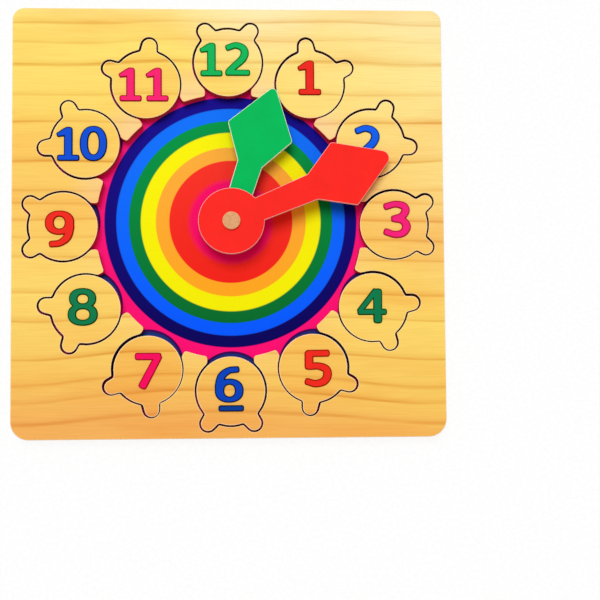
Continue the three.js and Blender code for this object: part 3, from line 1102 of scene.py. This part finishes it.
@dataclass(frozen=True)
class TurnedPart:
    """A round part turned on a lathe, with its axis upright.

    Attributes:
        node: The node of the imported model.
        profile: Radius and height of the profile's points in metres, from its foot to its top.
        finish: Its finish.
        sides: Facets round the axis.
    """

    node: str
    profile: tuple[tuple[float, float], ...]
    finish: Finish
    sides: int = 96

    def build(self, centre: Vector) -> Object:
        """Make the part's object.

        Args:
            centre: Where its axis stands.

        Returns:
            The new object, dressed.
        """
        mesh = bmesh.new()
        rings = []
        for radius, height in self.profile:
            ring = []
            for side in range(self.sides):
                turn = FULL_TURN * side / self.sides
                spot = (centre.x + radius * math.cos(turn), centre.y + radius * math.sin(turn), height)
                ring.append(mesh.verts.new(spot))
            rings.append(ring)
        for lower, upper in zip(rings[:-1], rings[1:]):
            for side in range(self.sides):
                after = (side + 1) % self.sides
                mesh.faces.new((lower[side], lower[after], upper[after], upper[side]))
        mesh.faces.new(rings[-1])
        mesh.faces.new(reversed(rings[0]))
        return make_object(self.node + "_shown", mesh, [self.finish], crease=50)


def place_piece(piece: Object, body: str, node: str) -> None:
    """Let a piece ride on its body and stand for its node, and report it.

    Args:
        piece: The piece's object.
        body: The body that it rides on.
        node: The node that it stands for.
    """
    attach(piece, body)
    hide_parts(node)
    LOG.info("%s rides on %s and has %d faces", piece.name, body, len(piece.data.polygons))


@dataclass(frozen=True)
class Board:
    """The fixed board: thin backing, printed sheet, and the thick frame with its cut-out.

    Attributes:
        body: The body that all three belong to.
        edge_round: Radius of the edge round the frame's face.
    """

    body: str = "board"
    edge_round: float = 0.5 * MM

    def build(self, nodes: dict[str, Object]) -> None:
        """Make the three layers.

        Args:
            nodes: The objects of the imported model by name.
        """
        ply = Dress(PLY, PLY, PLY, PLY, PLY)
        sheet = Dress(PRINT, PRINT, PAPER, PAPER, PAPER)
        frame = Dress(PINE_FACE, OPENING_EDGE, PINE_SIDE, KERF, PINE_FACE)
        layers = (
            (CutPlate("backing_board", ply, 0.05 * MM, 0.3 * MM), "plywood"),
            (CutPlate("printed_sheet", sheet, 0.02 * MM, 0.02 * MM, steps=1), "print"),
            # On the cut-out's rims the outer facets of the edge round take the kerf's dark colour, partly as
            # painted shade of the cut
            (CutPlate("frame_board", frame, self.edge_round, 0.1 * MM, side_steps=2), "pine"),
        )
        for plate, slot in layers:
            place_piece(plate.build(nodes), self.body, plate.node)


@dataclass(frozen=True)
class NumberPiece:
    """One lift-out piece with its painted numeral.

    Attributes:
        hour: Its hour.
        paint: The numeral's enamel.
        warmth: How orange its stretch of the board is.
        cut_outs: Nodes of the numeral, where it isn't a single digit.
        underline: The enamel of the line under the numeral, where it has one.
        edge_round: Radius of the wood's edge.
        numeral_round: Radius of the numeral's edge.
    """

    hour: int
    paint: Paint
    warmth: float = 0.0
    cut_outs: tuple[str, ...] = ()
    underline: Paint | None = None
    edge_round: float = 0.65 * MM
    numeral_round: float = 0.8 * MM

    def build(self, nodes: dict[str, Object]) -> None:
        """Make the piece and the cut-outs of its numeral.

        Args:
            nodes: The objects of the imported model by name.
        """
        body = f"piece_{self.hour}"
        face = LacqueredPine(f"{body}_pine_face", warmth=self.warmth)
        wood = Dress(face, PINE_EDGE, KERF, KERF, face)
        # The outer facets of the edge round take the kerf's dark colour, partly as painted shade that widens
        # the cut's dark line
        block = CutPlate(f"number_{body}", wood, self.edge_round, 0.25 * MM, side_steps=2)
        place_piece(block.build(nodes), body, block.node)
        painted = [(node, self.paint) for node in self.cut_outs or (f"numeral_{self.hour}",)]
        if self.underline is not None:
            painted.append((f"underline_{self.hour}", self.underline))
        for node, paint in painted:
            cut_out = CutPlate(node, self.coat(paint), self.numeral_round, 0.0, steps=3)
            place_piece(cut_out.build(nodes), body, node)

    def coat(self, paint: Paint) -> Dress:
        """Choose the finishes of a cut-out.

        Args:
            paint: Its enamel.

        Returns:
            The finishes.
        """
        name = paint.name.lower() + "_enamel"
        top = SatinEnamel(name + "_face", colour=paint.face)
        # Edge and sides take the paint's darker colours as painted shade
        edge = SatinEnamel(name + "_edge", colour=paint.edge)
        side = SatinEnamel(name + "_side", colour=paint.side)
        return Dress(top, edge, side, side, side)


NUMBER_PIECES = (
    NumberPiece(1, Paint.RED),
    NumberPiece(2, Paint.BLUE),
    NumberPiece(3, Paint.ROSE),
    NumberPiece(4, Paint.DARK_GREEN, 0.1),
    NumberPiece(5, Paint.RED, 0.35),
    NumberPiece(6, Paint.DEEP_BLUE, 0.15, underline=Paint.NIGHT_BLUE),
    NumberPiece(7, Paint.CRIMSON, 0.5),
    NumberPiece(8, Paint.DARK_GREEN, 0.2),
    NumberPiece(9, Paint.RED, 0.1),
    NumberPiece(10, Paint.MID_BLUE, 0.0, ("numeral_10_one", "numeral_10_zero")),
    NumberPiece(11, Paint.PINK, 0.3, ("numeral_11_left", "numeral_11_right")),
    NumberPiece(12, Paint.GREEN, 0.0, ("numeral_12_one", "numeral_12_two")),
)


@dataclass(frozen=True)
class Hand:
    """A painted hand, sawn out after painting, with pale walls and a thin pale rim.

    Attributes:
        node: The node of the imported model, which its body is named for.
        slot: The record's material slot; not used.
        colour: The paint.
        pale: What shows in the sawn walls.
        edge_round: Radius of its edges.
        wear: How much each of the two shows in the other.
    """

    node: str
    slot: str
    colour: str
    pale: str
    edge_round: float = 0.6 * MM
    wear: float = 0.1

    def build(self, nodes: dict[str, Object]) -> None:
        """Make the hand.

        Args:
            nodes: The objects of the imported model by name.
        """
        face = SatinEnamel(self.node + "_enamel", self.colour)
        edge = SatinEnamel(self.node + "_worn_edge", self.colour, self.pale, self.wear)
        side = SatinEnamel(self.node + "_side", self.pale, self.colour, self.wear)
        coat = Dress(face, edge, side, side, face)
        plate = CutPlate(self.node, coat, self.edge_round, self.edge_round, side_steps=3)
        place_piece(plate.build(nodes), self.node, self.node)


HANDS = (
    Hand("hour_hand", "green_paint", "#00BC5A", "#FBFDEC"),
    Hand("minute_hand", "red_paint", "#FF2A22", "#FFB2AA"),
)


@dataclass(frozen=True)
class Pivot:
    """The peg on which the hands turn, and the spacer that carries them above the frame.

    Attributes:
        body: The body that both belong to.
        shank: Radius of the peg's shank.
        head_thickness: Thickness of its head.
        rim: Radius of the round over its head.
        rim_steps: Facets in that round.
        bevel: Width of the small bevels on the peg.
        spacer_edge: Width of the bevel on the spacer's top.
    """

    body: str = "board"
    shank: float = 4.0 * MM
    head_thickness: float = 2.0 * MM
    rim: float = 0.7 * MM
    rim_steps: int = 6
    bevel: float = 0.3 * MM
    spacer_edge: float = 0.4 * MM

    def build(self) -> None:
        """Turn the peg, with a flat head that has a rounded rim, and the spacer, a plain disc."""
        low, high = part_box("peg")
        centre = (low + high) / 2
        head = (high.x - low.x) / 2
        seat = high.z - self.head_thickness
        foot = [(self.shank - self.bevel, low.z), (self.shank, low.z + self.bevel), (self.shank, seat)]
        profile = foot + [(head - self.bevel, seat), (head, seat + self.bevel)]
        for step in range(self.rim_steps + 1):
            turn = math.pi / 2 * step / self.rim_steps
            radius = head - self.rim * (1 - math.cos(turn))
            profile.append((radius, high.z - self.rim * (1 - math.sin(turn))))
        peg = TurnedPart("peg", tuple(profile), BEECH)
        low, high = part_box("spacer")
        reach = (high.x - low.x) / 2
        cuts = ((0.0, 1.0), (0.3, 0.3), (1.0, 0.0))
        broken = [(reach - self.spacer_edge * x, high.z - self.spacer_edge * z) for x, z in cuts]
        spacer = TurnedPart("spacer", ((reach, low.z), *broken), BEECH)
        for part in (peg, spacer):
            place_piece(part.build(centre), self.body, part.node)


@dataclass(frozen=True)
class WhiteSweep(Finish):
    """Matt white paper under the object, which keeps a light shadow of it.

    Attributes:
        glow: How much of the paper the camera sees by its own glow, which keeps its shadow light.
    """

    glow: float = 0.93

    def wire(self, tree: ShaderTree) -> Node:
        """Mix matt paper with its glow.

        Args:
            tree: The nodes of the material.

        Returns:
            The shader.
        """
        # The tooth of real paper is finer and would vanish at this size
        tooth = tree.mottling(2.5, detail=2.0)
        colour = tree.add("ValToRGB", [tooth], [(0.3, "#FCFCFC"), (0.6, "#FFFFFF")])
        dull = {"Base Color": colour, "Roughness": 1.0, "Specular IOR Level": 0.0}
        matt = tree.add("BsdfPrincipled", dull)
        glow = tree.add("Emission", [colour, 1.0])
        seen = tree.add("LightPath").outputs["Is Camera Ray"]
        share = tree.add("Math", [seen, self.glow], operation="MULTIPLY")
        return tree.add("MixShader", [share, matt, glow])


@dataclass(frozen=True)
class Studio:
    """White paper, one soft lamp from the head of the board, and even fill from all sides.

    Attributes:
        floor_radius: Radius of the paper.
        lamp_height: Height of the lamp over the horizon, in degrees.
        lamp_side: How far left of straight up the board it stands, in degrees.
        lamp_strength: Its strength.
        lamp_colour: Its colour, a little cool.
        lamp_spread: Its apparent width in degrees, which softens the shadows.
        fill: Strength of the light from all sides.
        fill_colour: Its colour, as much too warm as the lamp is too cool.
    """

    floor_radius: float = 3.0
    lamp_height: float = 68.0
    lamp_side: float = 21.0
    lamp_strength: float = 2.2
    lamp_colour: str = "#E3F3FF"
    lamp_spread: float = 30.0
    fill: float = 0.52
    fill_colour: str = "#FFEBDA"

    def build(self) -> None:
        """Lay the paper and light it."""
        mesh = bmesh.new()
        bmesh.ops.create_circle(mesh, cap_ends=True, segments=96, radius=self.floor_radius)
        make_object("paper_sweep", mesh, [WhiteSweep("white_paper")], crease=180)
        self.lamp()
        self.surroundings()

    def lamp(self) -> None:
        """Hang the lamp."""
        light = bpy.data.lights.new("soft_lamp", "SUN")
        light.energy = self.lamp_strength
        light.color = linear(self.lamp_colour)[:3]
        light.angle = math.radians(self.lamp_spread)
        lamp = bpy.data.objects.new("soft_lamp", light)
        bpy.context.scene.collection.objects.link(lamp)
        height = math.radians(self.lamp_height)
        side = math.radians(self.lamp_side)
        flat = math.cos(height)
        towards = Vector((-math.sin(side) * flat, math.cos(side) * flat, math.sin(height)))
        lamp.rotation_mode = "QUATERNION"
        lamp.rotation_quaternion = towards.to_track_quat("Z", "Y")

    def surroundings(self) -> None:
        """Fill from all sides, and let the camera and clear reflections see white."""
        world = bpy.data.worlds.new("studio_white")
        tree = ShaderTree(world)
        rays = tree.add("LightPath").outputs
        direct = [rays["Is Camera Ray"], rays["Is Transmission Ray"]]
        seen = tree.add("Math", direct, operation="MAXIMUM")
        strength = tree.add("MapRange", [seen, 0.0, 1.0, self.fill, 1.0])
        colour = tree.overlaid(self.fill_colour, (seen, "#FFFFFF", Blend.COVER))
        tree.add("OutputWorld", [tree.add("Background", [colour, strength])])
        bpy.context.scene.world = world


@dataclass(frozen=True)
class PhotoCamera:
    """The camera at the photograph's viewing angle: over the board, a little below its middle.

    Attributes:
        eye: Where it stands.
        aim: What the middle of its view shows.
        roll: How far it is turned about its view, in degrees.
        focal_length: Focal length in mm.
        sensor_width: Width of the sensor in mm.
        clip: Distances between which it sees.
    """

    eye: tuple[float, float, float] = (-4.2 * MM, -121.6 * MM, 979.6 * MM)
    aim: tuple[float, float, float] = (48.72 * MM, -54.8 * MM, FACE_HEIGHT)
    roll: float = -0.457
    focal_length: float = 84.0
    sensor_width: float = 36.0
    clip: tuple[float, float] = (0.01, 20.0)

    def build(self) -> None:
        """Set the camera up and hand it to the scene."""
        data = bpy.data.cameras.new("photo_camera")
        data.sensor_width = self.sensor_width
        data.lens = self.focal_length
        data.clip_start, data.clip_end = self.clip
        camera = bpy.data.objects.new("photo_camera", data)
        bpy.context.scene.collection.objects.link(camera)
        back = (Vector(self.eye) - Vector(self.aim)).normalized()
        level = Vector((0, 1, 0)).cross(back).normalized()
        roll = math.radians(self.roll)
        right = level * math.cos(roll) + back.cross(level) * math.sin(roll)
        turn = Matrix((right, back.cross(right), back)).transposed().to_4x4()
        camera.matrix_world = Matrix.Translation(self.eye) @ turn
        bpy.context.scene.camera = camera


def main() -> None:
    """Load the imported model, build every sub-assembly over it, and set up the view."""
    logging.basicConfig(level=logging.INFO, format="%(message)s")
    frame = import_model()
    nodes = frame["nodes"]
    bpy.context.scene.view_settings.view_transform = "Standard"
    PhotoCamera().build()
    Studio().build()
    Board().build(nodes)
    for assembly in NUMBER_PIECES + HANDS:
        assembly.build(nodes)
    Pivot().build()


if __name__ == "__main__":
    main()
